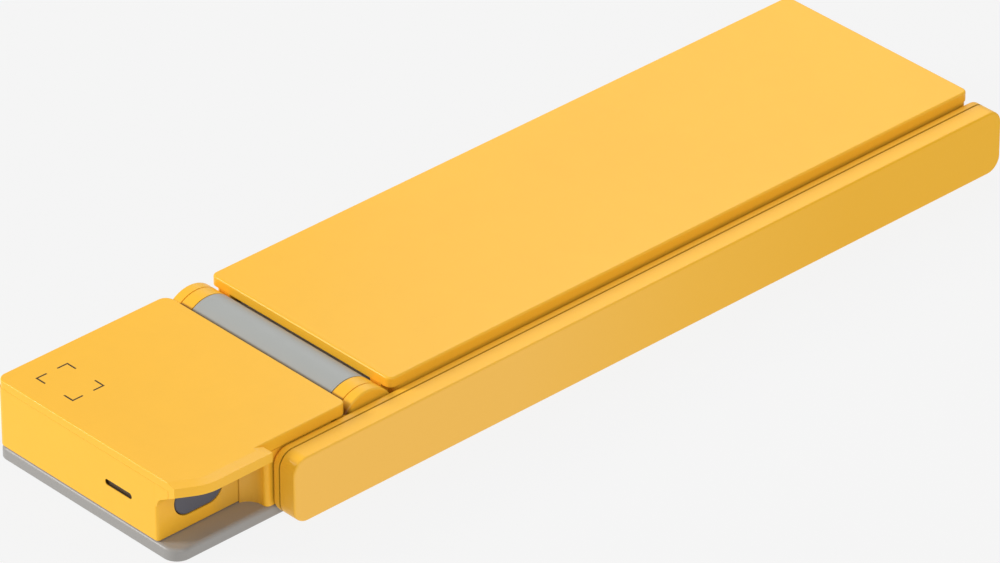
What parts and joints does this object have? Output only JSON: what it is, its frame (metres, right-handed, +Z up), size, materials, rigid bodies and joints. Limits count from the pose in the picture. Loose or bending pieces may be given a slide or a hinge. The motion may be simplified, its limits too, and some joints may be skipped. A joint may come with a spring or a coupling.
{
  "type": "folding document camera",
  "caption": "Flat-folding document camera: a base plate, a slim side arm, a wide upper arm and a tilting camera head on a barrel hinge, with a side button and a down-facing lens.",
  "frame": {"origin": "centre of the folded outline, on the surface it stands on", "axes": "+X along the length from the camera head to the elbow, +Y across from the side arm to the far edge, +Z up"},
  "size_m": [0.2554, 0.0694, 0.0212],
  "materials": {
    "yellow_shell": "satin moulded plastic",
    "gray_shell": "satin moulded plastic",
    "button_gray": "satin",
    "steel": "turned",
    "ballast_steel": "zinc plated",
    "spine_aluminium": "stamped",
    "brass": "turned",
    "foot_rubber": "matte",
    "circuit_board": "solder mask",
    "lens_black": "fine matte",
    "lens_window": "clear",
    "light_pipe": "smoked",
    "switch_black": "matte"
  },
  "bodies": {
    "base": {"base_plate": "gray_shell", "base_ballast_plate": "ballast_steel", "base_foot_pad": "foot_rubber", "shoulder_bracket": "yellow_shell", "bracket_screws": "steel", "shoulder_bush": "brass"},
    "lower_arm": {"lower_arm_outer_cover": "yellow_shell", "lower_arm_inner_cover": "yellow_shell", "lower_arm_spine": "spine_aluminium", "lower_arm_screws": "steel", "shoulder_shaft": "steel", "shoulder_washer": "brass", "shoulder_nut": "steel", "elbow_bush": "brass"},
    "upper_arm": {"elbow_shaft": "steel", "elbow_spacer": "brass", "elbow_nut": "steel", "upper_arm_top_panel": "yellow_shell", "upper_arm_shell": "yellow_shell", "upper_arm_screws": "steel", "elbow_hinge_block": "spine_aluminium", "hinge_barrel_cover": "gray_shell", "neck_friction_clip": "steel", "main_board": "circuit_board", "usb_c_socket": "steel"},
    "camera_head": {"head_housing": "yellow_shell", "head_top_cover": "yellow_shell", "head_screws": "steel", "neck_shaft": "steel", "lens_bezel": "lens_black", "lens_glass": "lens_window", "lens_module": "lens_black", "image_sensor_board": "circuit_board", "status_light_pipe": "light_pipe", "button_switch": "switch_black"},
    "side_button": {"side_button": "button_gray"}
  },
  "joints": [
    {"name": "lower_arm_lift", "type": "hinge", "parent": "base", "child": "lower_arm", "pos_m": [-0.09225, -0.02621, 0.01048], "axis": [0, -1, 0], "range_deg": [0, 90]},
    {"name": "elbow_open", "type": "hinge", "parent": "lower_arm", "child": "upper_arm", "pos_m": [0.11525, -0.02621, 0.01048], "axis": [0, 1, 0], "range_deg": [0, 90]},
    {"name": "head_tilt", "type": "hinge", "parent": "upper_arm", "child": "camera_head", "pos_m": [-0.06985, 0.00379, 0.01283], "axis": [0, 1, 0], "range_deg": [0, 60]},
    {"name": "side_button_press", "type": "slide", "parent": "camera_head", "child": "side_button", "axis": [0, 1, 0], "range_m": [0, 0.0006], "stiffness_N_per_m": 1500}
  ],
  "couplings": [
    {"joint": "elbow_open", "follows": "lower_arm_lift", "ratio": 1}
  ]
}
